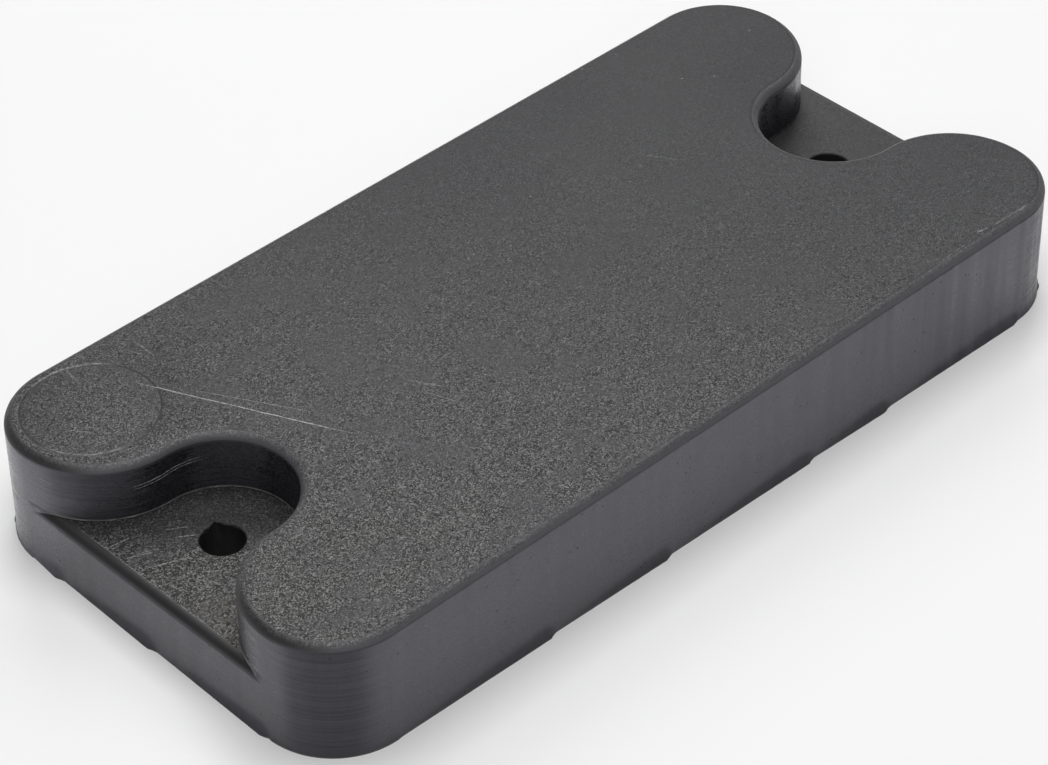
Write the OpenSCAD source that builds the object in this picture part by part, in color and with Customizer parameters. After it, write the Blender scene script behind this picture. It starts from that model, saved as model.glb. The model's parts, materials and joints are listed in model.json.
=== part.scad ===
// Rubber buffer: a moulded block with a stepped notch and a bolt hole at each short end.
// X runs along the length, Y across and Z up. The origin is the middle of the flat underside.

/* [Block] */
// Length over the end walls
length = 150; // [120:1:220]
// Width over the side walls
width = 74; // [74:1:110]
// Height from the underside to the top face
height = 20; // [16:0.5:30]
// Plan radius of the four outer corners
corner_r = 12; // [8:0.5:12]
// Radius rolled round the whole top edge
edge_r = 1.5; // [0.6:0.1:2.5]

/* [End notches] */
// Height of the ledge that the bolt head sits on
ledge_z = 10.5; // [6:0.5:13]
// Radius rolled over the ledge's front edge
ledge_edge_r = 1.4; // [0.6:0.1:2]
// Plan radius of the hollow round each bolt hole
pocket_r = 11; // [8:0.5:11]
// Distance of each bolt hole from its end wall, and radius of the swells beside it
hole_inset = 14; // [11:0.5:14]

/* [Bolt holes] */
// Diameter of the two through holes
hole_d = 6.4; // [4:0.1:9]

/* [Moulding marks] */
// Thickness of the trimmed lip along the bottom edge
lip_h = 0.4; // [0.2:0.1:0.8]
// Lip left where a trimming stroke starts
lip_start = 0.1; // [0.05:0.01:0.2]
// Lip left where a trimming stroke ends
lip_end = 0.6; // [0.3:0.05:0.9]
// Even lip round the corners and along the other two sides
lip_even = 0.4; // [0.2:0.05:0.6]
// Diameter of the ring that a mould plug left on one corner of the top face
ring_d = 20; // [10:0.5:20]
// Width of that ring's groove
ring_w = 0.3; // [0.2:0.05:0.8]
// Depth of that ring's groove
ring_depth = 0.12; // [0.05:0.01:0.4]

/* [Hidden] */
$fn = 96;
rubber = [0.29, 0.29, 0.30];
half_l = length / 2;
half_w = width / 2;
// Each hollow is struck round its bolt hole, with a swell square beside it on either hand.
hole_x = half_l - hole_inset;
swell_r = hole_inset;
swell_y = pocket_r + swell_r;
// Centres of the outer corners, and the flat of end wall left between corner and swell.
corner_x = half_l - corner_r;
corner_y = half_w - corner_r;
end_flat = corner_y - swell_y;
// The block is a plain slab up to where the ledge's edge starts to roll over.
slab_h = ledge_z - ledge_edge_r;
tier_h = height - slab_h;
// Width of the rim along the outline, and how far inside the walls the filling stops.
rim_w = 6;
lap = rim_w / 2;
// The rolled ledge edge stops where the swells leave a gap this wide to the end wall.
ledge_tip = 0.2;
ledge_half = swell_y - sqrt(pow(swell_r, 2) - pow(swell_r - ledge_tip, 2));
// How far a cut runs past the faces that it goes through.
through = 1;
// Places where a trimming stroke starts, as shares of the front side and of the left end.
side_strokes = [0, 0.23, 0.41, 0.64, 0.77, 1];
end_strokes = [0, 0.13, 0.53, 1];

// Section of the rim above the slab: a wall on the right with its top corner rolled over.
module rim_section() {
    square([rim_w, tier_h - edge_r]);
    square([rim_w - edge_r, tier_h]);
    translate([rim_w - edge_r, tier_h - edge_r])
        circle(r = edge_r);
}

// Rim along an outer bend of the outline.
module outer_bend(r, from, sweep) {
    rotate([0, 0, from])
        rotate_extrude(angle = sweep)
            translate([r - rim_w, 0])
                rim_section();
}

// Rim along an inner bend of the outline.
module inner_bend(r, from, sweep) {
    rotate([0, 0, from])
        rotate_extrude(angle = sweep)
            translate([r + rim_w, 0])
                mirror([1, 0])
                    rim_section();
}

// Rim along a straight stretch whose wall faces +X, from y1 to y2.
module straight_rim(wall_x, y1, y2) {
    translate([wall_x - rim_w, y2, 0])
        rotate([90, 0, 0])
            linear_extrude(y2 - y1)
                rim_section();
}

// One end's rim: both corners, any flat beside them, the swells and the hollow.
module end_rim() {
    for (side = [0, 1])
        mirror([0, side, 0]) {
            translate([corner_x, corner_y, 0])
                outer_bend(corner_r, 0, 90);
            if (end_flat > 0)
                straight_rim(half_l, swell_y, corner_y);
            translate([hole_x, swell_y, 0])
                outer_bend(swell_r, -90, 90);
        }
    translate([hole_x, 0, 0])
        inner_bend(pocket_r, 90, 180);
}

// Plan of the filling inside the rim: it laps under the rim and keeps clear of every rolled edge.
module filling_plan() {
    difference() {
        square([2 * hole_x, 2 * (half_w - lap)], center = true);
        for (end = [-1, 1])
            translate([end * hole_x, 0])
                circle(r = pocket_r + lap);
    }
    for (x = [-1, 1], y = [-1, 1])
        translate([x * corner_x, y * corner_y])
            circle(r = corner_r - lap);
}

// Upper tier: the part of the block that the notches are cut into.
module upper_tier() {
    linear_extrude(tier_h)
        filling_plan();
    for (end = [0, 1])
        mirror([end, 0, 0])
            end_rim();
    for (turn = [-90, 90])
        rotate([0, 0, turn])
            straight_rim(half_w, -corner_x, corner_x);
}

// Top of one ledge, from the hollow out to its rolled front edge.
module ledge() {
    back_x = hole_x - pocket_r - lap;
    depth = half_l - back_x;
    translate([back_x, ledge_half, slab_h])
        rotate([90, 0, 0])
            linear_extrude(2 * ledge_half) {
                square([depth - ledge_edge_r, ledge_edge_r]);
                translate([depth - ledge_edge_r, 0])
                    intersection() {
                        circle(r = ledge_edge_r);
                        square(ledge_edge_r);
                    }
            }
}

// Plan of the plain slab.
module slab_plan() {
    square([2 * corner_x, width], center = true);
    square([length, 2 * corner_y], center = true);
    for (x = [-1, 1], y = [-1, 1])
        translate([x * corner_x, y * corner_y])
            circle(r = corner_r);
}

// Outline of a trimmed side of a given length: each stroke drifts out from the wall.
function stroke_line(reach, wall, strokes) = [
    for (i = [0 : len(strokes) - 2], tail = [0, 1])
        [(strokes[i + tail] - 0.5) * reach, wall + (tail == 0 ? lip_start : lip_end)]
];

// Plan of the lip along the bottom edge, trimmed by hand on the front side and the left end.
module lip_plan() {
    front = stroke_line(2 * corner_x, half_w, side_strokes);
    left = stroke_line(2 * corner_y, half_l, end_strokes);
    polygon([
        for (p = front) [p[0], -p[1]],
        [half_l + lip_even, -corner_y],
        [half_l + lip_even, corner_y],
        [corner_x, half_w + lip_even],
        [-corner_x, half_w + lip_even],
        for (p = left) [-p[1], -p[0]]
    ]);
    for (x = [-1, 1], y = [-1, 1])
        translate([x * corner_x, y * corner_y])
            circle(r = corner_r + lip_even);
}

// Groove of the ring mark, struck round the back left corner.
module ring_groove() {
    translate([-corner_x, corner_y, height - ring_depth])
        rotate_extrude()
            translate([ring_d / 2 - ring_w, 0])
                square([ring_w, 2 * ring_depth]);
}

module buffer() {
    color(rubber)
        difference() {
            union() {
                linear_extrude(lip_h)
                    lip_plan();
                linear_extrude(slab_h)
                    slab_plan();
                translate([0, 0, slab_h])
                    upper_tier();
                for (end = [0, 1])
                    mirror([end, 0, 0])
                        ledge();
            }
            for (end = [-1, 1])
                translate([end * hole_x, 0, -through])
                    cylinder(d = hole_d, h = height + 2 * through);
            ring_groove();
        }
}

buffer();
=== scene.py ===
"""Rubber buffer: a moulded block with a stepped notch and a bolt hole at each short end.

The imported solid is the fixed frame. One mesh stands for it at the same sizes, with the marks that
moulding, trimming and use left on it: a lip trimmed by hand, fine flash at the foot of the notches, a torn
hole, a plug ring, scratches and dust. Lengths are in metres, with X along the block, Y across it and Z up.
"""

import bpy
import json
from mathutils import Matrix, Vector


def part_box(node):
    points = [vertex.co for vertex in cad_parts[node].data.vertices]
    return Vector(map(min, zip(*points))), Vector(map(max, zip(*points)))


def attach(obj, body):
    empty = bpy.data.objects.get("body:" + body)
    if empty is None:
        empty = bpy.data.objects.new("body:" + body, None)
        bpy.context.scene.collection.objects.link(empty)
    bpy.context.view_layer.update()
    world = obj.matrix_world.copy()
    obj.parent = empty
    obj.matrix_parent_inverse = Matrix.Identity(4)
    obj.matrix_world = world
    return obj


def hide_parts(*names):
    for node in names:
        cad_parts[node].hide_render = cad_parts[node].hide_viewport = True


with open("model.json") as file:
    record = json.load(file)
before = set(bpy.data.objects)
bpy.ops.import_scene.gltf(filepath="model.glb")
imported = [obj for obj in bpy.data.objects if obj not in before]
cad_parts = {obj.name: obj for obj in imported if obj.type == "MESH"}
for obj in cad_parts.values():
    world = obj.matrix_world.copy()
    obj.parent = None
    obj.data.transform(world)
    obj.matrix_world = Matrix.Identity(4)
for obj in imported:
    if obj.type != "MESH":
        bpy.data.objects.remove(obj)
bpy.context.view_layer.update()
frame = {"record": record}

import json
import logging
import math
import random
from dataclasses import dataclass, field
from enum import Enum
from typing import Callable, Iterable, Union

import bmesh
import bpy
from mathutils import Matrix, Vector

LOG = logging.getLogger("buffer")
NODE = "buffer"
BODY = "root"
MM = 0.001
TOUCH = 0.01 * MM
QUARTER = 90.0
# Heights of the top face and of the ledges, in millimetres.
TOP_Z = 20.0
LEDGE_Z = 10.5
IMAGE_WIDTH_PX = 1048
X_AXIS = (1.0, 0.0, 0.0)
Y_AXIS = (0.0, 1.0, 0.0)
Z_AXIS = (0.0, 0.0, 1.0)
DIAGONAL = (math.sqrt(0.5), math.sqrt(0.5), 0.0)
# Stretch of the diagonal, from the near corner to the far one, over which most finishes change.
NEAR_TO_FAR = (-65.0 * MM, 65.0 * MM)
# Least upward part of the normal on a level face, and on the part of a rolled edge that looks up.
FACES_UP = 0.9
LEANS_UP = 0.3

Triple = tuple[float, float, float]
Pair = tuple[float, float]
Socket = bpy.types.NodeSocket
Value = Union[float, Socket]
PointTest = Callable[[Vector], bool]


class Zone(Enum):
    """Kinds of surface on the block, in the order of its material slots."""

    TOP = 0
    ROLL = 1
    LEDGE = 2
    LEDGE_EDGE = 3
    WALL = 4
    FLASH = 5
    BORE = 6
    UNDERSIDE = 7


@dataclass(frozen=True)
class BlockSizes:
    """Sizes of the moulded block. The outer ones and the holes come from the frame."""

    length: float
    width: float
    height: float
    hole_x: float
    hole_r: float
    corner_r: float = 12.0 * MM
    edge_r: float = 1.5 * MM
    ledge_z: float = LEDGE_Z * MM
    ledge_edge_r: float = 1.4 * MM
    pocket_r: float = 11.0 * MM
    lip_h: float = 0.4 * MM
    lip_even: float = 0.4 * MM
    lip_start: float = 0.1 * MM
    lip_end: float = 0.6 * MM

    @classmethod
    def from_frame(cls) -> "BlockSizes":
        """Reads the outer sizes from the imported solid's box and the holes from its mounts.

        Returns:
            The block's sizes.
        """
        low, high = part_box(NODE)
        mounts = {mount["name"]: mount for mount in frame["record"]["mounts"]}
        holes = mounts["bolt_holes"]["dims"]
        lips = cls.lip_end + cls.lip_even
        return cls(
            length=high.x - low.x - lips,
            width=high.y - low.y - lips,
            height=high.z - low.z,
            hole_x=holes["spacing_x_mm"] * MM / 2,
            hole_r=holes["hole_r_mm"] * MM,
        )

    @property
    def half_l(self) -> float:
        """Half the length over the end walls."""
        return self.length / 2

    @property
    def half_w(self) -> float:
        """Half the width over the side walls."""
        return self.width / 2

    @property
    def swell_r(self) -> float:
        """Plan radius of the swells beside each hollow."""
        return self.half_l - self.hole_x

    @property
    def swell_y(self) -> float:
        """Distance of a swell's centre from the middle line."""
        return self.pocket_r + self.swell_r

    @property
    def corner_x(self) -> float:
        """Distance of the outer corners' centres from the middle, along the block."""
        return self.half_l - self.corner_r

    @property
    def corner_y(self) -> float:
        """Distance of the outer corners' centres from the middle, across the block."""
        return self.half_w - self.corner_r

    @property
    def slab_h(self) -> float:
        """Height at which the ledge's front edge starts to roll over."""
        return self.ledge_z - self.ledge_edge_r

    def ledge_height(self, x: float) -> float:
        """Height of a ledge's surface, its rolled front edge included.

        Args:
            x: Place along the block.

        Returns:
            The height above the underside.
        """
        run = max(0.0, abs(x) - (self.half_l - self.ledge_edge_r))
        return self.slab_h + math.sqrt(max(0.0, self.ledge_edge_r**2 - run**2))


class Bench:
    """One mesh being shaped in edit mode."""

    def __init__(self, name: str, start: Triple) -> None:
        """Adds the mesh as a single vertex.

        Args:
            name: Name of the object and of its mesh.
            start: Place of that vertex.
        """
        bpy.ops.object.select_all(action="DESELECT")
        bpy.ops.mesh.primitive_plane_add(size=MM)
        self.obj: bpy.types.Object = bpy.context.object
        self.obj.name = self.obj.data.name = name
        bpy.ops.object.mode_set(mode="EDIT")
        bpy.ops.mesh.select_all(action="SELECT")
        bpy.ops.mesh.merge(type="CENTER")
        self.move(start)

    def move(self, by: Triple) -> None:
        """Moves what is selected."""
        bpy.ops.transform.translate(value=by)

    def pull(self, by: Triple) -> None:
        """Extrudes what is selected."""
        bpy.ops.mesh.extrude_region_move(TRANSFORM_OT_translate={"value": by})

    def sweep(self, centre: Triple, axis: Triple, degrees: float, steps: int) -> None:
        """Spins what is selected round an axis.

        Args:
            centre: A point on the axis.
            axis: The axis' direction.
            degrees: How far to turn, counter-clockwise seen from the axis' tip.
            steps: Number of steps in the turn.
        """
        bpy.ops.mesh.spin(steps=steps, angle=-math.radians(degrees), center=centre, axis=axis)

    def widen(self, centre: Triple, radius: float, to_radius: float, rise: float = 0.0) -> None:
        """Extrudes a selected circle to another radius and height.

        Args:
            centre: The circle's centre.
            radius: Its present radius.
            to_radius: The radius to reach.
            rise: How far the new circle stands above the old one.
        """
        self.pull((0.0, 0.0, rise))
        share = to_radius / radius
        bpy.ops.transform.resize(value=(share, share, 1.0), center_override=centre)

    def circle(self, centre: Triple, radius: float, points: int) -> None:
        """Adds a circle of edges and leaves it selected.

        Args:
            centre: The circle's centre.
            radius: Its radius.
            points: Number of its vertices.
        """
        bpy.ops.mesh.select_all(action="DESELECT")
        bpy.ops.mesh.primitive_circle_add(vertices=points, radius=radius, location=centre)

    def pick(self, test: PointTest) -> None:
        """Selects the vertices that pass a test of their place."""
        bpy.ops.mesh.select_mode(type="VERT")
        bpy.ops.mesh.select_all(action="DESELECT")
        mesh = bmesh.from_edit_mesh(self.obj.data)
        for vertex in mesh.verts:
            if test(vertex.co):
                vertex.select_set(True)
        mesh.select_flush(True)
        bmesh.update_edit_mesh(self.obj.data)

    def pick_open(self, test: PointTest) -> None:
        """Selects the open edges whose two ends pass a test of their place."""
        bpy.ops.mesh.select_mode(type="EDGE")
        bpy.ops.mesh.select_all(action="DESELECT")
        mesh = bmesh.from_edit_mesh(self.obj.data)
        for edge in mesh.edges:
            if len(edge.link_faces) < 2 and all(test(vertex.co) for vertex in edge.verts):
                edge.select_set(True)
        bmesh.update_edit_mesh(self.obj.data)

    def apply(self, kind: str, **settings: object) -> None:
        """Adds a modifier and applies it.

        Args:
            kind: The modifier's type.
            settings: Its settings.
        """
        bpy.ops.object.mode_set(mode="OBJECT")
        bpy.ops.object.modifier_add(type=kind)
        modifier = self.obj.modifiers[-1]
        for setting, value in settings.items():
            setattr(modifier, setting, value)
        bpy.ops.object.modifier_apply(modifier=modifier.name)
        bpy.ops.object.mode_set(mode="EDIT")

    def swell_out(self, name: str, reach: float, weight: Callable[[Vector], float]) -> None:
        """Pushes vertices out along their normals by a painted weight.

        Args:
            name: Name of the weights.
            reach: Distance at full weight.
            weight: Gives the weight at a place, from 0 to 1.
        """
        self.face_outwards()
        bpy.ops.object.mode_set(mode="OBJECT")
        group = self.obj.vertex_groups.new(name=name)
        for vertex in self.obj.data.vertices:
            share = weight(vertex.co)
            if share > 0.0:
                group.add([vertex.index], min(share, 1.0), "REPLACE")
        self.apply("DISPLACE", strength=reach, mid_level=0.0, direction="NORMAL", vertex_group=name)

    def face_outwards(self) -> None:
        """Turns all faces outwards."""
        bpy.ops.mesh.select_all(action="SELECT")
        bpy.ops.mesh.normals_make_consistent(inside=False)
        bpy.ops.mesh.select_all(action="DESELECT")

    def close(self) -> None:
        """Merges doubles, turns the faces outwards and goes back to object mode."""
        bpy.ops.mesh.select_all(action="SELECT")
        bpy.ops.mesh.remove_doubles(threshold=TOUCH / 10)
        self.face_outwards()
        bpy.ops.object.mode_set(mode="OBJECT")
        self.obj.vertex_groups.clear()


@dataclass
class MouldedBlock:
    """The buffer itself, modelled as one closed mesh."""

    sizes: BlockSizes
    seed: int = 11
    edge_steps: int = 10
    ledge_steps: int = 8
    bend_step: float = 2.2
    straight_step: float = 0.75 * MM
    support: float = 0.3 * MM
    hole_points: int = 72
    ring_points: int = 144
    ring_r: float = 10.0 * MM
    ring_w: float = 0.3 * MM
    ring_depth: float = 0.06 * MM
    hole_rim: float = 0.15 * MM
    hole_collars: Pair = (1.0 * MM, 2.4 * MM)
    hole_loops: tuple[float, ...] = (0.08, 0.12, 0.2, 0.3, 0.3)
    flash_z: float = 0.14 * MM
    flash_top: float = 0.3 * MM
    flash_reach: float = 0.14 * MM
    flash_least: float = 0.25
    wall_loops: Pair = (0.66, 0.33)
    flare_h: float = 1.9 * MM
    trim_h: float = 0.16 * MM
    lip_ragged: float = 0.06
    lip_shoulder: float = 0.75
    side_strokes: tuple[float, ...] = (0.0, 0.23, 0.41, 0.64, 0.77, 1.0)
    end_strokes: tuple[float, ...] = (0.0, 0.13, 0.53, 1.0)
    stroke_tail: float = 1.2 * MM
    corner_share: float = 0.5
    barbs: tuple[Pair, ...] = ((-72.0 * MM, 33.6 * MM), (71.4 * MM, -33.9 * MM))
    barb_r: float = 0.9 * MM
    barb_fade: float = 0.5
    nick_angle: float = 65.0
    nick_half: float = 15.0
    nick_reach: float = 0.9 * MM
    nick_depth: float = 2.6 * MM
    nick_steps: int = 4
    fray: float = 0.12 * MM
    smooth_angle: float = 32.0
    rng: random.Random = field(init=False)
    bench: Bench = field(init=False)

    def build(self) -> bpy.types.Object:
        """Models the whole block.

        Returns:
            The finished object, still without materials.
        """
        self.rng = random.Random(self.seed)
        size = self.sizes
        self.bench = Bench("moulded_block", (size.hole_x - size.pocket_r, 0.0, size.slab_h))
        self.raise_section()
        self.sweep_quarter()
        self.bench.apply("MIRROR", use_axis=(True, True, False), merge_threshold=TOUCH)
        self.seat_feet()
        self.roll_ledges()
        self.raise_flash()
        self.drop_walls()
        self.trim_lip()
        self.bore_holes()
        self.strike_ring()
        self.close_faces()
        self.tear_hole()
        self.bench.close()
        bpy.ops.object.shade_smooth_by_angle(angle=math.radians(self.smooth_angle))
        return self.bench.obj

    def raise_section(self) -> None:
        """Draws the rim's section at the back of a hollow: wall, rolled edge and a strip of top."""
        size, bench = self.sizes, self.bench
        wall_top = size.height - size.edge_r
        levels = (
            size.ledge_z + self.flash_z,
            size.ledge_z + self.flash_top,
            size.ledge_z + self.flash_top + self.support,
            (size.ledge_z + wall_top) / 2,
            wall_top,
        )
        below = size.slab_h
        for level in levels:
            bench.pull((0.0, 0.0, level - below))
            below = level
        roll_centre = (size.hole_x - size.pocket_r - size.edge_r, 0.0, wall_top)
        bench.sweep(roll_centre, Y_AXIS, -QUARTER, self.edge_steps)
        bench.pull((-self.support, 0.0, 0.0))

    def ledge_columns(self) -> list[float]:
        """Places along X where the swell's wall meets the rows of the rolled ledge edge."""
        size = self.sizes
        flat_end = size.half_l - size.ledge_edge_r
        turns = [math.pi / 2 * i / self.ledge_steps for i in range(self.ledge_steps + 1)]
        return [flat_end - self.support] + [flat_end + size.ledge_edge_r * math.sin(turn) for turn in turns]

    def sweep_quarter(self) -> None:
        """Carries the section along a quarter of the outline: hollow, swell, corner and half a side."""
        size, bench = self.sizes, self.bench
        bpy.ops.mesh.select_all(action="SELECT")
        steps = round(QUARTER / self.bend_step)
        bench.sweep((size.hole_x, 0.0, 0.0), Z_AXIS, -QUARTER, steps)
        swell = (size.hole_x, size.swell_y, 0.0)
        turn = -QUARTER
        for number, column in enumerate(self.ledge_columns()):
            to_turn = -math.degrees(math.acos(min(1.0, (column - size.hole_x) / size.swell_r)))
            bench.sweep(swell, Z_AXIS, to_turn - turn, steps if number == 0 else 1)
            turn = to_turn
        bench.sweep((size.corner_x, size.corner_y, 0.0), Z_AXIS, QUARTER, steps)
        straights = round(size.corner_x / self.straight_step)
        for _ in range(straights):
            bench.pull((-size.corner_x / straights, 0.0, 0.0))

    def in_notch(self, place: Vector) -> bool:
        """Says whether a place on the rim lies on a notch's wall."""
        size = self.sizes
        between_swells = abs(place.y) < size.swell_y - TOUCH
        return between_swells and abs(place.x) > size.hole_x - size.pocket_r - TOUCH

    def seat_feet(self) -> None:
        """Lifts the feet of the notch walls on to the ledges."""
        size = self.sizes
        flat_end = size.half_l - size.ledge_edge_r

        def is_foot(place: Vector) -> bool:
            """Says whether a place lies at the foot of a notch's wall."""
            return abs(place.z - size.slab_h) < TOUCH and self.in_notch(place)

        self.bench.pick(lambda place: is_foot(place) and abs(place.x) < flat_end + TOUCH)
        self.bench.move((0.0, 0.0, size.ledge_edge_r))
        for column in self.ledge_columns()[2:-1]:
            self.bench.pick(lambda place: is_foot(place) and abs(abs(place.x) - column) < TOUCH)
            self.bench.move((0.0, 0.0, size.ledge_height(column) - size.slab_h))

    def roll_ledges(self) -> None:
        """Lays each ledge's rolled front edge across from swell to swell."""
        size = self.sizes
        first = self.ledge_columns()[0]
        cuts = round(2 * size.swell_y / self.straight_step) - 1
        for end in (-1.0, 1.0):
            self.bench.pick_open(
                lambda place: end * place.x > first - TOUCH
                and abs(place.y) < size.swell_y + TOUCH
                and abs(place.z - size.ledge_height(place.x)) < TOUCH
            )
            bpy.ops.mesh.bridge_edge_loops(number_cuts=cuts, interpolation="LINEAR")

    def raise_flash(self) -> None:
        """Lets a thin line of flash stand out of the notch walls, just above the ledges."""
        level = self.sizes.ledge_z + self.flash_z

        def weight(place: Vector) -> float:
            """Gives an uneven weight to the flash line and none elsewhere."""
            if abs(place.z - level) > TOUCH or not self.in_notch(place):
                return 0.0
            return self.rng.uniform(self.flash_least, 1.0)

        self.bench.swell_out("flash", self.flash_reach, weight)

    def drop_walls(self) -> None:
        """Carries the outer walls down to the underside, with loops for the lip."""
        size = self.sizes
        self.bench.pick_open(lambda place: abs(place.z - size.slab_h) < TOUCH)
        loops = [size.slab_h * share for share in self.wall_loops]
        levels = (*loops, self.flare_h, size.lip_h, self.trim_h, 0.0)
        above = size.slab_h
        for level in levels:
            self.bench.pull((0.0, 0.0, level - above))
            above = level

    def stroke_reach(self, share: float, strokes: tuple[float, ...], side: float) -> float:
        """Reach of the lip along a side that was trimmed in strokes.

        Args:
            share: Place along the side, from 0 to 1.
            strokes: Shares at which a stroke starts.
            side: Length of the side.

        Returns:
            How far the lip stands out there.
        """
        start = max(stroke for stroke in strokes[:-1] if stroke <= max(share, 0.0))
        end = min(stroke for stroke in strokes if stroke > start)
        tail = self.stroke_tail / side
        drift = min((share - start) / (end - tail - start), (end - share) / tail)
        return self.sizes.lip_start + (self.sizes.lip_end - self.sizes.lip_start) * max(0.0, drift)

    def corner_reach(self, place: Vector) -> float:
        """Reach of the lip round the corners and along the sides that were trimmed evenly.

        Args:
            place: A place on the bottom edge.

        Returns:
            How far the lip stands out there.
        """
        gap = min((place.xy - Vector(barb)).length for barb in self.barbs)
        if gap < self.barb_r:
            return self.sizes.lip_end * (1.0 - self.barb_fade * gap / self.barb_r)
        on_side = abs(place.x) < self.sizes.corner_x or abs(place.y) < self.sizes.corner_y
        return self.sizes.lip_even * (1.0 if on_side else self.corner_share)

    def trim_lip(self) -> None:
        """Pushes the bottom loops out to the lip that hand trimming left."""
        size = self.sizes

        def weight(place: Vector) -> float:
            """Gives the lip's reach at a place as a share of its greatest reach."""
            if place.z > size.lip_h + TOUCH:
                return 0.0
            side, end = 2 * size.corner_x, 2 * size.corner_y
            if place.y < -size.half_w + TOUCH and abs(place.x) <= size.corner_x:
                reach = self.stroke_reach(0.5 + place.x / side, self.side_strokes, side)
            elif place.x < -size.half_l + TOUCH and abs(place.y) <= size.corner_y:
                reach = self.stroke_reach(0.5 - place.y / end, self.end_strokes, end)
            else:
                reach = self.corner_reach(place)
            if place.z > size.lip_h - TOUCH:
                reach *= self.lip_shoulder
            return reach / size.lip_end * (1.0 - self.rng.uniform(0.0, self.lip_ragged))

        self.bench.swell_out("lip", size.lip_end, weight)

    def bore_holes(self) -> None:
        """Sets a ring of faces in each ledge and carries its hole down to the underside."""
        size, bench = self.sizes, self.bench
        for end in (-1.0, 1.0):
            centre = (end * size.hole_x, 0.0, size.ledge_z)
            rim_r = size.hole_r + self.hole_rim
            inner_r, outer_r = (rim_r + collar for collar in self.hole_collars)
            bench.circle(centre, rim_r, self.hole_points)
            bench.widen(centre, rim_r, inner_r)
            bench.widen(centre, inner_r, outer_r)
            bench.pick_open(lambda place: abs((place - Vector(centre)).length - rim_r) < TOUCH)
            bench.widen(centre, rim_r, size.hole_r, -self.hole_rim)
            depth = size.ledge_z - self.hole_rim
            for share in self.hole_loops:
                bench.pull((0.0, 0.0, -depth * share))

    def strike_ring(self) -> None:
        """Presses the fine ring into the back left corner of the top face."""
        size = self.sizes
        centre = (-size.corner_x, size.corner_y, size.height)
        inner_r = self.ring_r - self.ring_w
        self.bench.circle(centre, self.ring_r, self.ring_points)
        self.bench.widen(centre, self.ring_r, (self.ring_r + inner_r) / 2, -self.ring_depth)
        self.bench.widen(centre, (self.ring_r + inner_r) / 2, inner_r, self.ring_depth)
        bpy.ops.mesh.edge_face_add()

    def close_faces(self) -> None:
        """Fills the top, both ledges and the underside between their open edges."""
        size = self.sizes
        tests: list[PointTest] = [
            lambda place: abs(place.z - size.height) < TOUCH,
            lambda place: abs(place.z - size.ledge_z) < TOUCH and place.x < 0.0,
            lambda place: abs(place.z - size.ledge_z) < TOUCH and place.x > 0.0,
            lambda place: abs(place.z) < TOUCH,
        ]
        for test in tests:
            self.bench.pick_open(test)
            bpy.ops.mesh.fill(use_beauty=True)

    def tear_hole(self) -> None:
        """Pulls a small torn nick out of the rim of the left hole and frays the rest of it."""
        size = self.sizes
        axis = Vector((-size.hole_x, 0.0))
        turn = math.radians(self.nick_angle)
        outward = Vector((math.cos(turn), math.sin(turn)))
        furthest = size.hole_r + self.hole_rim + self.nick_reach
        for step in range(self.nick_steps):
            rest = 1.0 - step / self.nick_steps
            half = self.nick_half * rest
            floor = size.ledge_z - self.nick_depth * rest

            def torn(place: Vector) -> bool:
                """Says whether a place on the hole's wall or rim belongs to this step of the tear."""
                arm = place.xy - axis
                if arm.length > furthest or not floor < place.z < size.ledge_z + TOUCH:
                    return False
                return abs(math.degrees(arm.angle(outward))) < half

            self.bench.pick(torn)
            pull = outward * self.nick_reach / self.nick_steps
            self.bench.move((pull.x, pull.y, 0.0))
        rim_z = size.ledge_z - self.hole_rim

        def on_rim(place: Vector) -> bool:
            """Says whether a place lies on the ring where the left hole's wall starts."""
            return abs(place.z - rim_z) < TOUCH and (place.xy - axis).length < size.hole_r + self.nick_reach

        self.bench.pick(on_rim)
        bpy.ops.transform.vertex_random(offset=self.fray, seed=self.seed)

    def zone_of(self, face: bpy.types.MeshPolygon) -> Zone:
        """Finds the kind of surface that a face belongs to.

        Args:
            face: A face of the finished mesh.

        Returns:
            The face's zone.
        """
        size = self.sizes
        place, normal = face.center, face.normal
        arm = math.hypot(abs(place.x) - size.hole_x, place.y)
        if normal.z < -FACES_UP and place.z < size.lip_h:
            return Zone.UNDERSIDE
        if place.z < size.ledge_z - TOUCH and arm < size.hole_r + self.nick_reach:
            return Zone.BORE
        if place.z < self.trim_h:
            return Zone.FLASH
        if self.in_notch(place) and size.ledge_z + TOUCH < place.z < size.ledge_z + self.flash_top:
            return Zone.FLASH
        if place.z > size.height - self.ring_depth:
            return Zone.TOP
        if place.z > size.height - size.edge_r and normal.z > LEANS_UP:
            return Zone.ROLL
        if abs(place.z - size.ledge_z) < TOUCH and normal.z > FACES_UP:
            return Zone.LEDGE
        return Zone.LEDGE_EDGE if place.z > size.slab_h and normal.z > LEANS_UP else Zone.WALL

    def dress(self, obj: bpy.types.Object, materials: dict[Zone, bpy.types.Material]) -> None:
        """Gives each face the material of its zone.

        Args:
            obj: The finished block.
            materials: One material for each zone.
        """
        obj.data.materials.clear()
        for zone in Zone:
            obj.data.materials.append(materials[zone])
        for face in obj.data.polygons:
            face.material_index = self.zone_of(face).value


@dataclass(frozen=True)
class Scratch:
    """One scratch, straight between two places in millimetres, on a face that looks along an axis."""

    start: Triple
    end: Triple
    width: float = 0.25
    strength: float = 0.6
    facing: Triple = Z_AXIS

    @property
    def along(self) -> Vector:
        """Unit direction of the scratch."""
        return (Vector(self.end) - Vector(self.start)).normalized()

    @property
    def across(self) -> Vector:
        """Unit direction across the scratch, on the face that it lies on."""
        return Vector(self.facing).cross(self.along).normalized()

    @property
    def length(self) -> float:
        """Length of the scratch in metres."""
        return (Vector(self.end) - Vector(self.start)).length * MM


SCRATCH_FADE = 0.25
SCRATCH_DEPTH = (5.0 * MM, 4.0 * MM)
SPECK_CORE = 0.4


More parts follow.
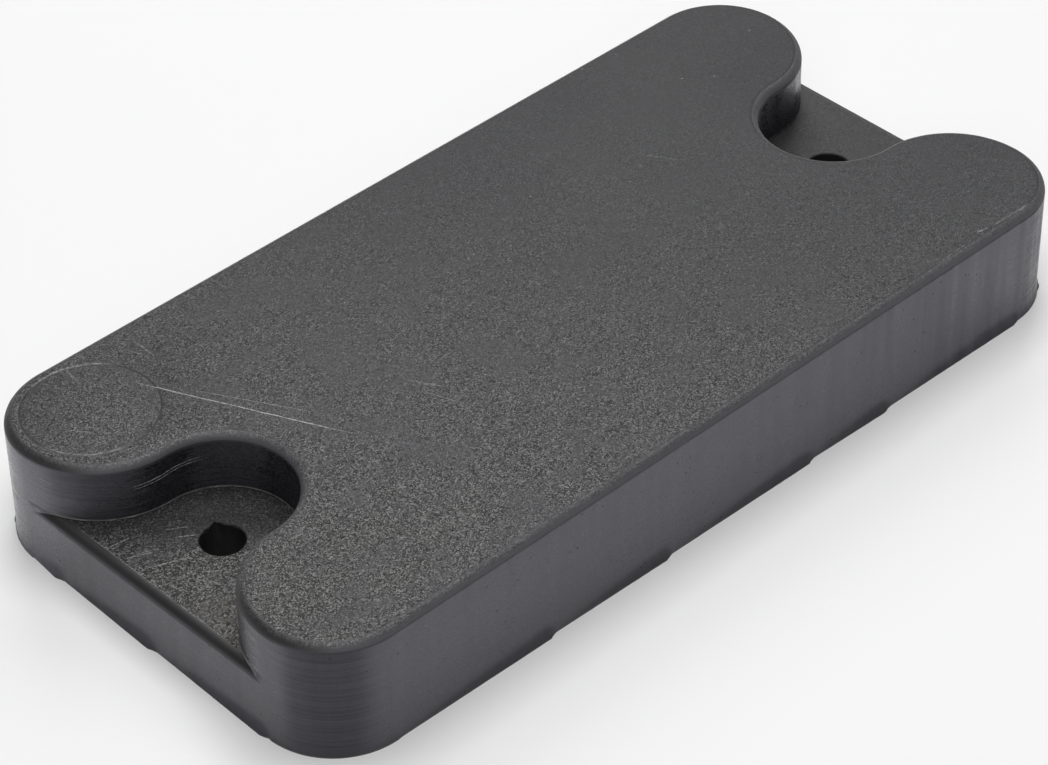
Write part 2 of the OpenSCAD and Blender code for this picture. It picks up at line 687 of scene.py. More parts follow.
class FinishGraph:
    """The node tree of one finish, with short calls for the patterns that it is made of."""

    def __init__(self, name: str) -> None:
        """Starts a material with an empty shader.

        Args:
            name: The material's name.
        """
        self.material = bpy.data.materials.new(name)
        self.material.use_nodes = True
        self.tree = self.material.node_tree
        self.tree.nodes.clear()
        self.shader = self.add("ShaderNodeBsdfPrincipled")
        output = self.add("ShaderNodeOutputMaterial")
        self.tree.links.new(self.shader.outputs["BSDF"], output.inputs["Surface"])
        self.place = self.add("ShaderNodeTexCoord").outputs["Object"]
        self.normal = self.add("ShaderNodeNewGeometry").outputs["Normal"]

    def add(self, kind: str, **settings: object) -> bpy.types.Node:
        """Adds a node with some settings."""
        node = self.tree.nodes.new(kind)
        for setting, value in settings.items():
            setattr(node, setting, value)
        return node

    def put(self, socket: Socket, value: object) -> None:
        """Links a socket to an input, or sets the input to a plain value."""
        if isinstance(value, bpy.types.NodeSocket):
            self.tree.links.new(value, socket)
        else:
            socket.default_value = value

    def math(self, operation: str, *values: Value) -> Socket:
        """Works out a value from others.

        Args:
            operation: The Math node's operation.
            values: Its inputs, in order.

        Returns:
            The result's socket.
        """
        node = self.add("ShaderNodeMath", operation=operation)
        for number, value in enumerate(values):
            self.put(node.inputs[number], value)
        return node.outputs[0]

    def product(self, *values: Value) -> Socket:
        """Multiplies several values."""
        result = values[0]
        for value in values[1:]:
            result = self.math("MULTIPLY", result, value)
        return result

    def add_share(self, mask: Socket, share: float, value: Value) -> Socket:
        """Adds a share of a mask to a value."""
        return self.math("MULTIPLY_ADD", mask, share, value)

    def length(self, vector: Socket) -> Socket:
        """Measures the length of a vector."""
        node = self.add("ShaderNodeVectorMath", operation="LENGTH")
        self.put(node.inputs[0], vector)
        return node.outputs["Value"]

    def dot(self, vector: Socket, direction: Iterable[float]) -> Socket:
        """Measures a vector along a fixed direction."""
        node = self.add("ShaderNodeVectorMath", operation="DOT_PRODUCT")
        self.put(node.inputs[0], vector)
        self.put(node.inputs[1], tuple(direction))
        return node.outputs["Value"]

    def offset(self, origin: Iterable[float]) -> Socket:
        """Gives the place on the object, measured from a fixed point in metres."""
        node = self.add("ShaderNodeVectorMath", operation="SUBTRACT")
        self.put(node.inputs[0], self.place)
        self.put(node.inputs[1], tuple(origin))
        return node.outputs["Vector"]

    def ease(
        self, value: Socket, low: float, high: float, to_low: float = 0.0, to_high: float = 1.0
    ) -> Socket:
        """Maps a range smoothly on to another.

        Args:
            value: The value to map.
            low: Where the range starts.
            high: Where it ends.
            to_low: Result at the start and before it.
            to_high: Result at the end and past it.

        Returns:
            The mapped value's socket.
        """
        node = self.add("ShaderNodeMapRange", interpolation_type="SMOOTHSTEP")
        for number, setting in enumerate((value, low, high, to_low, to_high)):
            self.put(node.inputs[number], setting)
        return node.outputs[0]

    def noise(self, size: float, detail: float = 2.0, stretch: Triple = (1.0, 1.0, 1.0)) -> Socket:
        """Adds a cloudy pattern.

        Args:
            size: Size of its lumps.
            detail: How many finer layers it has.
            stretch: Factors by which the pattern is squeezed along X, Y and Z.

        Returns:
            The pattern's value, about 0.5 in the mean.
        """
        mapping = self.add("ShaderNodeMapping")
        self.put(mapping.inputs["Vector"], self.place)
        self.put(mapping.inputs["Scale"], tuple(factor / size for factor in stretch))
        node = self.add("ShaderNodeTexNoise")
        self.put(node.inputs["Vector"], mapping.outputs["Vector"])
        self.put(node.inputs["Scale"], 1.0)
        self.put(node.inputs["Detail"], detail)
        return node.outputs[0]

    def cells(self, pitch: float) -> tuple[Socket, Socket]:
        """Splits the surface into small cells.

        Args:
            pitch: Mean size of a cell.

        Returns:
            A random value for each cell, and the distance from its middle in cell sizes.
        """
        node = self.add("ShaderNodeTexVoronoi")
        self.put(node.inputs["Vector"], self.place)
        self.put(node.inputs["Scale"], 1.0 / pitch)
        draw = self.add("ShaderNodeSeparateColor")
        self.put(draw.inputs[0], node.outputs["Color"])
        return draw.outputs[0], node.outputs["Distance"]

    def specks(self, pitch: float, radius: float, share: Value) -> Socket:
        """Strews small round specks.

        Args:
            pitch: Mean distance between places where a speck may lie.
            radius: A speck's radius.
            share: Share of those places that hold one.

        Returns:
            A mask that is 1 in a speck.
        """
        draw, distance = self.cells(pitch)
        dot = self.ease(distance, radius / pitch, SPECK_CORE * radius / pitch)
        return self.math("MULTIPLY", dot, self.math("LESS_THAN", draw, share))

    def scratch(self, mark: Scratch, wobble: Socket, broken: Socket) -> Socket:
        """Draws one scratch.

        Args:
            mark: Its place and size.
            wobble: A cloudy pattern that bends it.
            broken: A fine pattern that breaks it up.

        Returns:
            A mask that is strongest along the scratch.
        """
        arm = self.offset(value * MM for value in mark.start)
        run = self.dot(arm, mark.along)
        aside = self.add_share(wobble, mark.width * MM, self.dot(arm, mark.across))
        line = self.ease(self.math("ABSOLUTE", aside), mark.width * MM / 2, 0.0)
        fade = mark.length * SCRATCH_FADE
        starts, ends = self.ease(run, 0.0, fade), self.ease(run, mark.length, mark.length - fade)
        masks = [line, starts, ends, broken]
        if mark.facing != Z_AXIS:
            depth = self.math("ABSOLUTE", self.dot(arm, mark.facing))
            masks.append(self.ease(depth, *SCRATCH_DEPTH))
        return self.product(*masks, mark.strength)

    def most(self, masks: list[Socket]) -> Socket:
        """Takes the strongest of several masks."""
        result = masks[0]
        for mask in masks[1:]:
            result = self.math("MAXIMUM", result, mask)
        return result

    def blend(self, share: Value, under: object, over: object) -> Socket:
        """Lays one colour over another.

        Args:
            share: How much of the upper colour shows.
            under: The lower colour.
            over: The upper colour.

        Returns:
            The blended colour's socket.
        """
        node = self.add("ShaderNodeMix", data_type="RGBA")
        self.put(node.inputs[0], share)
        for number, colour in ((6, under), (7, over)):
            self.put(node.inputs[number], colour)
        return node.outputs[2]

    def shade(self, colour: Socket, factor: Socket) -> Socket:
        """Makes a colour lighter or darker by a pattern."""
        node = self.add("ShaderNodeVectorMath", operation="SCALE")
        self.put(node.inputs[0], colour)
        self.put(node.inputs["Scale"], factor)
        return node.outputs["Vector"]

    def bump(self, height: Socket, depth: float, under: Union[Socket, None] = None) -> Socket:
        """Raises the surface by a pattern.

        Args:
            height: The pattern, from 0 to 1.
            depth: Its height in metres.
            under: A normal that is already raised.

        Returns:
            The raised normal's socket.
        """
        node = self.add("ShaderNodeBump")
        self.put(node.inputs["Distance"], depth)
        self.put(node.inputs["Height"], height)
        if under is not None:
            self.put(node.inputs["Normal"], under)
        return node.outputs["Normal"]


PALE_DUST = (0.42, 0.42, 0.42, 1.0)
PIT = (0.004, 0.004, 0.004, 1.0)
BROWN_DIRT = (0.056, 0.045, 0.034, 1.0)
SOFT_RANGE = (0.3, 0.7)


@dataclass
class Coat:
    """The parts of a finish while they are built up in layers."""

    lightness: Socket
    rough: Socket
    normal: Union[Socket, None] = None


@dataclass(frozen=True)
class Grain:
    """The sandy grain that the mould gave to a flat face."""

    size: float
    height: float
    tone: float
    glint: float = 0.0
    far_share: float = 1.0
    flat_from: float = 0.95
    flat_to: float = 0.999
    mean: float = 0.33
    dome_r: float = 0.6
    rubbed_loss: float = 0.4
    clump_size: float = 0.9 * MM
    clump_range: Pair = (0.35, 0.65)
    clump_share: Pair = (0.6, 1.3)

    def lay(self, graph: FinishGraph, coat: Coat, rubbed: Socket) -> None:
        """Lays the grain on a finish. It fades out where the face rolls over.

        Args:
            graph: The finish's node tree.
            coat: The finish so far.
            rubbed: A mask of the patches that are rubbed smooth.
        """
        level = graph.math("ABSOLUTE", graph.dot(graph.normal, Z_AXIS))
        flat = graph.ease(level, self.flat_from, self.flat_to)
        far = graph.ease(graph.dot(graph.place, DIAGONAL), *NEAR_TO_FAR)
        fade = graph.add_share(far, self.far_share - 1.0, 1.0)
        kept = graph.add_share(rubbed, -self.rubbed_loss, 1.0)
        clumps = graph.ease(graph.noise(self.clump_size), *self.clump_range, *self.clump_share)
        share = graph.product(flat, fade, kept, clumps)
        draw, distance = graph.cells(self.size)
        pale = graph.math("SUBTRACT", graph.product(draw, draw), self.mean)
        pale = graph.product(pale, share)
        dome = graph.product(draw, graph.ease(distance, self.dome_r, 0.0), share)
        coat.lightness = graph.product(coat.lightness, graph.add_share(pale, self.tone, 1.0))
        coat.rough = graph.add_share(pale, -self.glint, coat.rough)
        coat.normal = graph.bump(dome, self.height, coat.normal)


@dataclass(frozen=True)
class Satin:
    """The sheen of the walls: lines round the bends, upright streaks, flecks, matt places and a painted
    highlight on the back left corner's outer wall.

    A tone says how strongly a mark changes the lightness, and a gloss how strongly it changes the roughness.
    """

    line_size: float = 0.35 * MM
    line_squeeze: Triple = (0.012, 0.012, 1.0)
    line_height: float = 0.012 * MM
    line_tone: float = 0.5
    line_gloss: float = 0.18
    line_flat_share: float = 0.2
    bend_full: float = 0.2
    streak_size: float = 2.2 * MM
    streak_squeeze: Triple = (1.0, 1.0, 0.05)
    streak_gloss: float = 0.2
    streak_run: Pair = (0.0, 60.0 * MM)
    streak_least: float = 0.3
    upright_range: Pair = (0.2, 0.04)
    fleck_size: float = 0.26 * MM
    fleck_tone: float = 1.6
    fleck_gloss: float = 0.2
    corner_range: Pair = (-0.8, -1.0)
    corner_matt: float = 0.4
    lip_matt: float = 0.3
    lobe_range: Pair = (-0.6, -0.95)
    lobe_run: Pair = (12.0 * MM, 24.0 * MM)
    lobe_highlight_tone: float = 2.4
    lobe_gloss: float = 0.13
    pore_size: float = 0.22 * MM
    pore_height: float = 0.024 * MM

    def lay(self, graph: FinishGraph, coat: Coat) -> None:
        """Lays the sheen on a finish.

        Args:
            graph: The finish's node tree.
            coat: The finish so far.
        """
        upright = graph.ease(graph.math("ABSOLUTE", graph.dot(graph.normal, Z_AXIS)), *self.upright_range)
        lines = self.lines(graph)
        flecks = graph.product(upright, graph.math("SUBTRACT", graph.cells(self.fleck_size)[0], 0.5))
        lobe = self.lobe(graph)
        coat.lightness = graph.add_share(lines, self.line_tone, coat.lightness)
        coat.lightness = graph.add_share(flecks, self.fleck_tone, coat.lightness)
        # Painted highlight: the back left corner's outer wall is lighter in colour, in place of its grazing
        # reflection.
        coat.lightness = graph.add_share(lobe, self.lobe_highlight_tone, coat.lightness)
        coat.rough = graph.math("ADD", coat.rough, self.matt(graph, upright))
        coat.rough = graph.add_share(lines, self.line_gloss, coat.rough)
        coat.rough = graph.add_share(flecks, self.fleck_gloss, coat.rough)
        coat.rough = graph.add_share(lobe, -self.lobe_gloss, coat.rough)
        coat.rough = graph.add_share(self.streaks(graph), self.streak_gloss, coat.rough)
        coat.normal = graph.bump(lines, self.line_height, coat.normal)
        coat.normal = graph.bump(graph.noise(self.pore_size), self.pore_height, coat.normal)

    def lines(self, graph: FinishGraph) -> Socket:
        """Draws fine level lines, strongest where a wall bends."""
        bend = graph.product(graph.dot(graph.normal, X_AXIS), graph.dot(graph.normal, Y_AXIS))
        curved = graph.ease(graph.math("ABSOLUTE", bend), 0.0, self.bend_full, self.line_flat_share, 1.0)
        pattern = graph.noise(self.line_size, 1.0, self.line_squeeze)
        return graph.product(graph.ease(pattern, *SOFT_RANGE, -0.5, 0.5), curved)

    def streaks(self, graph: FinishGraph) -> Socket:
        """Draws soft upright streaks, strongest towards the right end."""
        pattern = graph.noise(self.streak_size, 3.0, self.streak_squeeze)
        along = graph.ease(graph.dot(graph.place, X_AXIS), *self.streak_run, self.streak_least, 1.0)
        return graph.product(graph.ease(pattern, *SOFT_RANGE, -0.5, 0.5), along)

    def matt(self, graph: FinishGraph, upright: Socket) -> Socket:
        """Gives the roughness that the near corner and the flare of the lip have over the rest.

        Args:
            graph: The finish's node tree.
            upright: A mask of the faces that stand upright.

        Returns:
            The added roughness.
        """
        corner = graph.ease(graph.dot(graph.normal, DIAGONAL), *self.corner_range, 0.0, self.corner_matt)
        return graph.most([corner, graph.add_share(upright, -self.lip_matt, self.lip_matt)])

    def lobe(self, graph: FinishGraph) -> Socket:
        """Gives a mask of the back left corner's outer wall, where a painted highlight lightens its colour
        in place of its grazing reflection.
        """
        facing = graph.ease(graph.dot(graph.normal, X_AXIS), *self.lobe_range)
        return graph.product(facing, graph.ease(graph.dot(graph.place, Y_AXIS), *self.lobe_run))


@dataclass(frozen=True)
class Pits:
    """Small dark pits that lie in clusters."""

    share: float
    pitch: float = 0.8 * MM
    radius: float = 0.17 * MM
    depth: float = 0.15 * MM
    matt: float = 0.5
    cluster_size: float = 9.0 * MM
    cluster_range: Pair = (0.42, 0.65)

    def lay(self, graph: FinishGraph, coat: Coat) -> Socket:
        """Sinks the pits into a finish.

        Args:
            graph: The finish's node tree.
            coat: The finish so far.

        Returns:
            A mask that is 1 in a pit.
        """
        clusters = graph.ease(graph.noise(self.cluster_size), *self.cluster_range, 0.0, self.share)
        pits = graph.specks(self.pitch, self.radius, clusters)
        coat.rough = graph.add_share(pits, self.matt, coat.rough)
        coat.normal = graph.bump(graph.math("SUBTRACT", 1.0, pits), self.depth, coat.normal)
        return pits


@dataclass(frozen=True)
class PlugRing:
    """The plug ring's dark line, painted shade in its groove, with two stretches of it rubbed pale."""

    centre: Triple = (-62.8 * MM, 25.1 * MM, TOP_Z * MM)
    radius: float = 9.8 * MM
    width: float = 0.5 * MM
    darkness: float = 0.6
    rubbed: tuple[Pair, ...] = ((70.0, 0.6), (228.0, 0.5))
    rubbed_from: float = 0.72
    rubbed_to: float = 0.95

    def masks(self, graph: FinishGraph, wobble: Socket, broken: Socket) -> tuple[Socket, Socket]:
        """Draws the ring.

        Args:
            graph: The finish's node tree.
            wobble: A cloudy pattern that bends the ring's line.
            broken: A fine pattern that breaks up its rubbed stretches.

        Returns:
            A mask of the rubbed stretches, and one of the dark line, which is painted shade in the groove.
        """
        arm = graph.offset(self.centre)
        aside = graph.math("SUBTRACT", graph.length(arm), self.radius)
        aside = graph.add_share(wobble, self.width, aside)
        line = graph.ease(graph.math("ABSOLUTE", aside), self.width / 2, 0.0)
        low, high = self.rubbed_from * self.radius, self.rubbed_to * self.radius
        stretches = []
        for angle, strength in self.rubbed:
            turn = math.radians(angle)
            reach = graph.dot(arm, (math.cos(turn), math.sin(turn), 0.0))
            stretches.append(graph.ease(reach, low, high, 0.0, strength))
        return graph.product(line, graph.most(stretches), broken), graph.product(line, self.darkness)


@dataclass(frozen=True)
class Dirt:
    """Brownish dirt in the near corner of the left ledge."""

    centre: Triple = (-70.5 * MM, -13.0 * MM, LEDGE_Z * MM)
    reach: Pair = (8.0 * MM, 2.0 * MM)
    lump_size: float = 0.6 * MM
    lump_range: Pair = (0.45, 0.65)

    def mask(self, graph: FinishGraph) -> Socket:
        """Spreads the dirt.

        Args:
            graph: The finish's node tree.

        Returns:
            A mask that is strongest in the dirt.
        """
        near = graph.ease(graph.length(graph.offset(self.centre)), *self.reach)
        return graph.product(near, graph.ease(graph.noise(self.lump_size, 3.0), *self.lump_range))


@dataclass(frozen=True)
class RubberFinish:
    """How one kind of surface of the rubber looks."""

    name: str
    colour: Triple
    cool: Triple
    roughness: float
    ior: float
    tint: Triple = (1.0, 1.0, 1.0)
    grain: Union[Grain, None] = None
    satin: Union[Satin, None] = None
    pits: Union[Pits, None] = None
    dirt: Union[Dirt, None] = None
    ring: Union[PlugRing, None] = None
    scratches: tuple[Scratch, ...] = ()
    scores: tuple[Scratch, ...] = ()
    # Painted shading: the lightness at the near and at the far end of the run, standing in for how the light
    # falls.
    near_painted_shading: float = 1.0
    far_painted_shading: float = 1.0
    least_tone: float = 0.15
    run: Triple = DIAGONAL
    near_to_far: Pair = NEAR_TO_FAR
    cloud_size: float = 34.0 * MM
    cloud_tone: float = 0.07
    cloud_gloss: float = 0.03
    rubbed_size: float = 8.0 * MM
    rubbed_range: Pair = (0.48, 0.64)
    rubbed_cool: float = 0.6
    wobble_size: float = 2.5 * MM
    break_size: float = 0.45 * MM
    break_range: Pair = (0.38, 0.6)
    break_least: float = 0.3
    dust_share: float = 0.0
    dust_pitch: float = 1.3 * MM
    dust_r: float = 0.17 * MM
    dust_strength: float = 0.5

    def build(self) -> bpy.types.Material:
        """Builds the finish's material.

        Returns:
            The new material.
        """
        graph = FinishGraph(self.name)
        cloud = graph.noise(self.cloud_size, 4.0)
        rubbed = graph.ease(graph.noise(self.rubbed_size, 3.0), *self.rubbed_range)
        far = graph.ease(graph.dot(graph.place, self.run), *self.near_to_far)
        tone = graph.ease(cloud, *SOFT_RANGE, 1.0 - self.cloud_tone, 1.0 + self.cloud_tone)
        # Painted shading: the colour grows lighter or darker along the run, in place of the light's own
        # fall-off.
        tilt = graph.add_share(far, self.far_painted_shading - self.near_painted_shading, self.near_painted_shading)
        low, high = self.roughness - self.cloud_gloss, self.roughness + self.cloud_gloss
        coat = Coat(graph.product(tone, tilt), graph.ease(cloud, *SOFT_RANGE, low, high))
        if self.grain:
            self.grain.lay(graph, coat, rubbed)
        if self.satin:
            self.satin.lay(graph, coat)
        coolness = graph.most([graph.product(rubbed, self.rubbed_cool), far])
        colour = graph.blend(coolness, self.colour + (1.0,), self.cool + (1.0,))
        colour = graph.shade(colour, graph.math("MAXIMUM", coat.lightness, self.least_tone))
        if self.pits:
            colour = graph.blend(self.pits.lay(graph, coat), colour, PIT)
        if self.dirt:
            colour = graph.blend(self.dirt.mask(graph), colour, BROWN_DIRT)
        pale, dark = self.marks(graph)
        if dark:
            colour = graph.blend(graph.most(dark), colour, PIT)
        if pale:
            colour = graph.blend(graph.most(pale), colour, PALE_DUST)
        graph.put(graph.shader.inputs["Base Color"], colour)
        graph.put(graph.shader.inputs["IOR"], self.ior)
        graph.put(graph.shader.inputs["Specular Tint"], self.tint + (1.0,))
        graph.put(graph.shader.inputs["Roughness"], coat.rough)
        if coat.normal is not None:
            graph.put(graph.shader.inputs["Normal"], coat.normal)
        return graph.material

    def marks(self, graph: FinishGraph) -> tuple[list[Socket], list[Socket]]:
        """Draws the marks of use, scratches, the rubbed ring, specks of dust and scored lines, and the
        painted shade in the ring's groove.

        Args:
            graph: The finish's node tree.

        Returns:
            A mask for each pale mark, and one for each dark mark.
        """
        wobble = graph.math("SUBTRACT", graph.noise(self.wobble_size), 0.5)
        broken = graph.ease(graph.noise(self.break_size), *self.break_range, self.break_least, 1.0)
        pale = [graph.scratch(mark, wobble, broken) for mark in self.scratches]
        dark = [graph.scratch(mark, wobble, broken) for mark in self.scores]
        if self.ring:
            scuffs, shadow = self.ring.masks(graph, wobble, broken)
            pale.append(scuffs)
            # Painted shade: the ring's groove is darkened.
            dark.append(shadow)
        if self.dust_share:
            dust = graph.specks(self.dust_pitch, self.dust_r, self.dust_share)
            pale.append(graph.product(dust, self.dust_strength))
        return pale, dark


def level_marks(height: float, rows: Iterable[tuple[float, ...]]) -> tuple[Scratch, ...]:
    """Lays scratches on a level face.

    Args:
        height: The face's height in millimetres.
        rows: X and Y of each scratch's start and end in millimetres, its width and its strength.

    Returns:
        The scratches.
    """
    return tuple(
        Scratch((x, y, height), (to_x, to_y, height), width, strength)
        for x, y, to_x, to_y, width, strength in rows
    )


TOP_SCRATCHES = level_marks(TOP_Z, (
    (-55.5, 26.5, -40.2, -5.4, 0.26, 1.5),
    (-50.6, 18.9, -40.6, 1.3, 0.22, 0.5),
    (-28.0, -0.5, -24.5, -6.5, 0.24, 0.4),
    (-27.2, -2.6, -24.8, -6.0, 0.2, 0.4),
    (-28.0, -4.0, -25.4, -10.6, 0.22, 0.4),
    (-26.3, -16.2, -24.8, -17.7, 0.25, 0.25),
    (-42.6, -9.6, -42.3, -12.3, 0.25, 0.25),
    (33.0, 14.0, 36.6, 7.8, 0.24, 0.3),
    (-68.7, 24.7, -65.8, 20.8, 0.24, 0.4),
    (-64.8, 19.6, -62.5, 17.5, 0.22, 0.3),
    (-59.9, 34.6, -60.5, 30.0, 0.5, 0.3),
    (-57.1, 35.7, -56.4, 34.2, 0.5, 0.4),
    (-49.2, 32.8, -49.0, 28.2, 0.45, 0.35),
    (-51.0, 31.3, -50.0, 28.8, 0.4, 0.3),
    (-47.8, 28.3, -45.7, 27.2, 0.4, 0.25),
    (54.2, -35.0, 56.4, -35.3, 0.6, 0.45),
    (57.0, -35.4, 61.5, -35.7, 0.5, 0.3),
    (60.5, -35.5, 65.5, -35.9, 0.6, 0.4),
    (44.0, -35.8, 52.0, -35.7, 0.4, 0.2),
))
TOP_SCORES = level_marks(TOP_Z, (
    (-46.0, -12.0, -35.5, -12.5, 0.3, 0.35),
    (-36.5, -12.6, -24.5, -7.4, 0.3, 0.35),
    (-26.5, -17.4, -15.5, -20.1, 0.3, 0.35),
    (-16.5, -19.9, -1.5, -22.1, 0.3, 0.3),
    (-19.0, -34.5, -15.0, -32.0, 0.3, 0.4),
    (33.0, 7.0, 38.5, 3.8, 0.3, 0.3),
    (37.5, 4.4, 43.0, -1.0, 0.3, 0.3),
))
LEDGE_SCRATCHES = level_marks(LEDGE_Z, (
    (-73.3, 6.6, -68.9, 4.6, 0.24, 0.75),
    (-72.9, 3.2, -66.0, 0.3, 0.24, 0.6),
    (-65.5, 7.3, -62.3, 5.2, 0.24, 0.65),
    (-65.4, 5.1, -62.7, 3.2, 0.28, 0.65),
    (-73.4, 9.8, -69.6, 9.2, 0.28, 0.7),
    (-71.6, 6.2, -68.0, 4.7, 0.2, 0.55),
    (-67.0, -3.1, -64.6, -5.0, 0.26, 0.5),
    (-73.5, 20.0, -73.5, -19.0, 0.45, 0.25),
))
WALL_SCRATCHES = (
    Scratch((-67.5, 11.0, 15.7), (-55.4, 11.0, 16.5), 0.26, 1.3, Y_AXIS),
    Scratch((-67.0, 11.0, 15.25), (-55.3, 11.0, 16.05), 0.24, 1.1, Y_AXIS),
    Scratch((-74.8, 22.4, 16.5), (-74.2, 19.6, 16.1), 0.2, 0.4, X_AXIS),
)
WALL_SCORES = (
    Scratch((-74.8, 22.6, 16.95), (-74.2, 19.4, 16.45), 0.26, 0.9, X_AXIS),
    Scratch((-74.8, 23.4, 15.6), (-73.6, 17.6, 14.9), 0.2, 0.6, X_AXIS),
)


def rubber_finishes() -> dict[Zone, RubberFinish]:
    """Lists the finish of each zone of the block.

    Returns:
        One finish for each zone.
    """
    sandy, slate = (0.0374, 0.037, 0.0362), (0.0338, 0.0343, 0.0378)
    earthy, coal = (0.034, 0.0334, 0.032), (0.0335, 0.034, 0.036)
    satin, plum = (0.0125, 0.0122, 0.0134), (0.0125, 0.0113, 0.0148)
    violet = (0.92, 0.89, 1.0)
    return {
        # Painted shading: the top's colour is lighter at the near end and darker at the far end.
        Zone.TOP: RubberFinish(
            "grained_top", sandy, slate, 0.6, 1.46,
            grain=Grain(0.17 * MM, 0.03 * MM, 3.5, 0.25, 0.22), near_painted_shading=1.6, far_painted_shading=0.75,
            dust_share=0.02, ring=PlugRing(), scratches=TOP_SCRATCHES, scores=TOP_SCORES,
        ),
        # Painted light: the rolled edge's colour is lifted to lighten the dark band that it reflects, and
        # kept darker at the left end as painted shade.
        Zone.ROLL: RubberFinish(
            "rolled_edge", (0.036, 0.0354, 0.0372), (0.035, 0.0347, 0.037), 0.55, 1.5,
            grain=Grain(0.19 * MM, 0.02 * MM, 1.8, 0.1, 0.3, flat_from=0.4), dust_share=0.04,
            near_painted_shading=0.7, far_painted_shading=2.25, run=X_AXIS, near_to_far=(-74.5 * MM, -69.5 * MM),
        ),
        # Painted shade: the ledge's colour is darker at its back and left, where the notch's walls shade it;
        # the brown dirt is a real stain.
        Zone.LEDGE: RubberFinish(
            "grained_ledge", earthy, coal, 0.56, 1.48,
            grain=Grain(0.2 * MM, 0.05 * MM, 5.0, 0.5, 0.16), near_painted_shading=1.2, far_painted_shading=0.52,
            near_to_far=(-46.5 * MM, -40.5 * MM), dirt=Dirt(), scratches=LEDGE_SCRATCHES,
        ),
        # Painted shade: the smooth ledge edge is darker in colour than the ledge, deepening the dark band
        # where it rolls over.
        Zone.LEDGE_EDGE: RubberFinish(
            "smooth_ledge_edge", (0.023, 0.0223, 0.0237), (0.022, 0.0215, 0.0234), 0.4, 1.5,
            dust_share=0.08,
        ),
        Zone.WALL: RubberFinish(
            "satin_wall", satin, plum, 0.35, 1.9, violet, satin=Satin(), pits=Pits(0.2),
            dust_share=0.008, scratches=WALL_SCRATCHES, scores=WALL_SCORES,
        ),
        Zone.FLASH: RubberFinish(
            "trimmed_flash", (0.13, 0.13, 0.124), (0.03, 0.03, 0.03), 0.5, 1.5, dust_share=0.4,
        ),
        Zone.BORE: RubberFinish("hole_wall", (0.012, 0.012, 0.012), (0.01, 0.01, 0.01), 0.6, 1.5),
        Zone.UNDERSIDE: RubberFinish(
            "plain_underside", sandy, slate, 0.6, 1.46, grain=Grain(0.2 * MM, 0.03 * MM, 1.2),
        ),
    }


@dataclass(frozen=True)
class PhotoCamera:
    """The camera that took the photograph, solved from the block's outline and edges."""

    azimuth: float = -43.318
    elevation: float = 39.503
    roll: float = -0.997
    distance: float = 543.677 * MM
    slide_right: float = -3.014 * MM
    slide_up: float = 2.142 * MM
    focal_px: float = 3704.285
    sensor_mm: float = 36.0
    clip_start: float = 10.0 * MM

    def build(self) -> bpy.types.Object:
        """Sets up the camera and makes it the scene's own.

        Returns:
            The camera.
        """
        turn, rise, tilt = (math.radians(angle) for angle in (self.azimuth, self.elevation, self.roll))
        back = Vector((math.sin(turn) * math.cos(rise), -math.cos(turn) * math.cos(rise), math.sin(rise)))
        level_right = Vector(Z_AXIS).cross(back).normalized()
        level_up = back.cross(level_right)
        right = level_right * math.cos(tilt) + level_up * math.sin(tilt)
        up = level_up * math.cos(tilt) - level_right * math.sin(tilt)
        eye = back * self.distance + right * self.slide_right + up * self.slide_up
        lens = bpy.data.cameras.new("photo_camera")
        lens.sensor_fit = "HORIZONTAL"
        lens.sensor_width = self.sensor_mm
        lens.lens = self.focal_px / IMAGE_WIDTH_PX * self.sensor_mm
        lens.clip_start = self.clip_start
        camera = bpy.data.objects.new("photo_camera", lens)
        bpy.context.scene.collection.objects.link(camera)
        camera.matrix_world = Matrix.Translation(eye) @ Matrix((right, up, back)).transposed().to_4x4()
        bpy.context.scene.camera = camera
        return camera


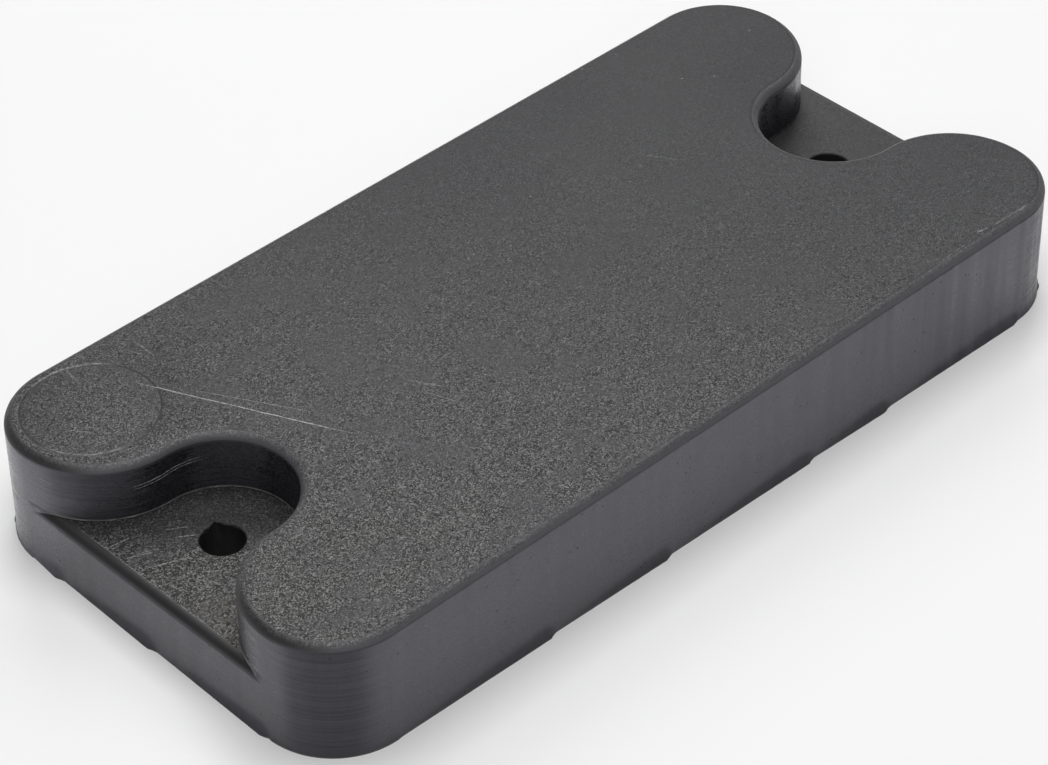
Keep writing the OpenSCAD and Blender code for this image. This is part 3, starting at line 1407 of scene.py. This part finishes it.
@dataclass(frozen=True)
class Softbox:
    """A soft studio lamp aimed at the block."""

    name: str
    place: Triple
    width: float
    height: float
    watts: float

    def build(self) -> bpy.types.Object:
        """Hangs the lamp and aims it.

        Returns:
            The lamp.
        """
        lamp = bpy.data.lights.new(self.name, "AREA")
        lamp.shape = "RECTANGLE"
        lamp.size, lamp.size_y = self.width, self.height
        lamp.energy = self.watts
        obj = bpy.data.objects.new(self.name, lamp)
        bpy.context.scene.collection.objects.link(obj)
        obj.location = self.place
        obj.rotation_euler = Vector(self.place).to_track_quat("Z", "Y").to_euler()
        return obj


@dataclass(frozen=True)
class Studio:
    """A plain pale floor, soft lamps and a dim room."""

    floor_side: float = 8.0
    floor_colour: tuple[float, float, float, float] = (0.9, 0.9, 0.9, 1.0)
    floor_roughness: float = 0.9
    room_level: float = 0.03
    softboxes: tuple[Softbox, ...] = (
        Softbox("overhead_softbox", (0.0, 0.0, 1.2), 1.0, 1.0, 12.0),
        Softbox("back_softbox", (0.63, 0.67, 0.76), 0.7, 0.7, 5.0),
        Softbox("front_softbox", (-0.6, -0.6, 0.85), 0.7, 0.7, 2.8),
    )

    def build(self) -> None:
        """Lays the floor, hangs the lamps and sets the room's light."""
        bpy.ops.object.select_all(action="DESELECT")
        bpy.ops.mesh.primitive_plane_add(size=self.floor_side)
        floor = bpy.context.object
        floor.name = "studio_floor"
        graph = FinishGraph("pale_floor")
        graph.put(graph.shader.inputs["Base Color"], self.floor_colour)
        graph.put(graph.shader.inputs["Roughness"], self.floor_roughness)
        floor.data.materials.append(graph.material)
        for softbox in self.softboxes:
            softbox.build()
        world = bpy.data.worlds.new("studio_room")
        world.use_nodes = True
        background = world.node_tree.nodes["Background"]
        background.inputs["Color"].default_value = (1.0, 1.0, 1.0, 1.0)
        background.inputs["Strength"].default_value = self.room_level
        bpy.context.scene.world = world
        bpy.context.scene.view_settings.view_transform = "Standard"


def main() -> None:
    """Builds the block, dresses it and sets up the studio."""
    logging.basicConfig(level=logging.INFO, format="%(name)s: %(message)s")
    sizes = BlockSizes.from_frame()
    LOG.info("block %.1f x %.1f x %.1f mm", sizes.length / MM, sizes.width / MM, sizes.height / MM)
    block = MouldedBlock(sizes)
    piece = block.build()
    block.dress(piece, {zone: finish.build() for zone, finish in rubber_finishes().items()})
    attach(piece, BODY)
    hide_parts(NODE)
    LOG.info("%s: %d vertices, %d faces", piece.name, len(piece.data.vertices), len(piece.data.polygons))
    Studio().build()
    PhotoCamera().build()


if __name__ == "__main__":
    main()
